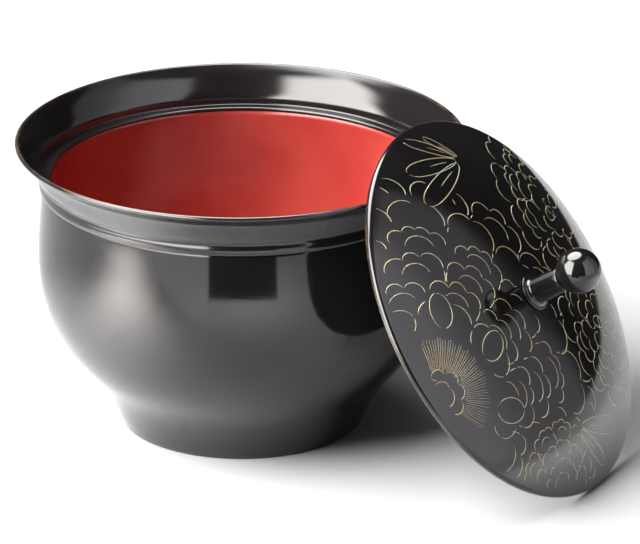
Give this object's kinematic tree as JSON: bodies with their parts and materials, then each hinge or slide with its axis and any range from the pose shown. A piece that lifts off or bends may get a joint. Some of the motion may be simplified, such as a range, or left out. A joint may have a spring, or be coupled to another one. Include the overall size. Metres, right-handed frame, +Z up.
{
  "type": "rice bowl",
  "caption": "Lidded rice serving bowl in black lacquer with a red inside, a flared rim, a low foot and a domed lid with a ball knob that leans on the rim.",
  "frame": {"origin": "on the table, at the middle of the footprint of the bowl and the leaning lid", "axes": "+Z up, +X from the bowl's axis towards the lid that leans on its rim"},
  "size_m": [0.2944, 0.212, 0.1569],
  "materials": {
    "black_lacquer": "gloss",
    "red_lacquer": "satin",
    "gold_inlay": "satin"
  },
  "bodies": {
    "bowl": {"bowl_body": "black_lacquer", "bowl_lining": "red_lacquer", "rim_collar": "black_lacquer"},
    "grip": {"knob_ball": "black_lacquer"},
    "lid": {"lid_plate": "black_lacquer", "lid_lining": "black_lacquer", "knob_stem": "black_lacquer"}
  },
  "joints": [
    {"name": "lid_carry", "type": "hinge", "parent": "bowl", "child": "grip", "pos_m": [0.05923, 0, 0.1708], "axis": [0, -1, 0], "range_deg": [0, 221.64]},
    {"name": "lid_level", "type": "hinge", "parent": "grip", "child": "lid", "pos_m": [0.13427, 0, 0.10407], "axis": [0, -1, 0], "range_deg": [-164.85, 0]}
  ],
  "couplings": [
    {"joint": "lid_level", "follows": "lid_carry", "ratio": -0.74373}
  ]
}
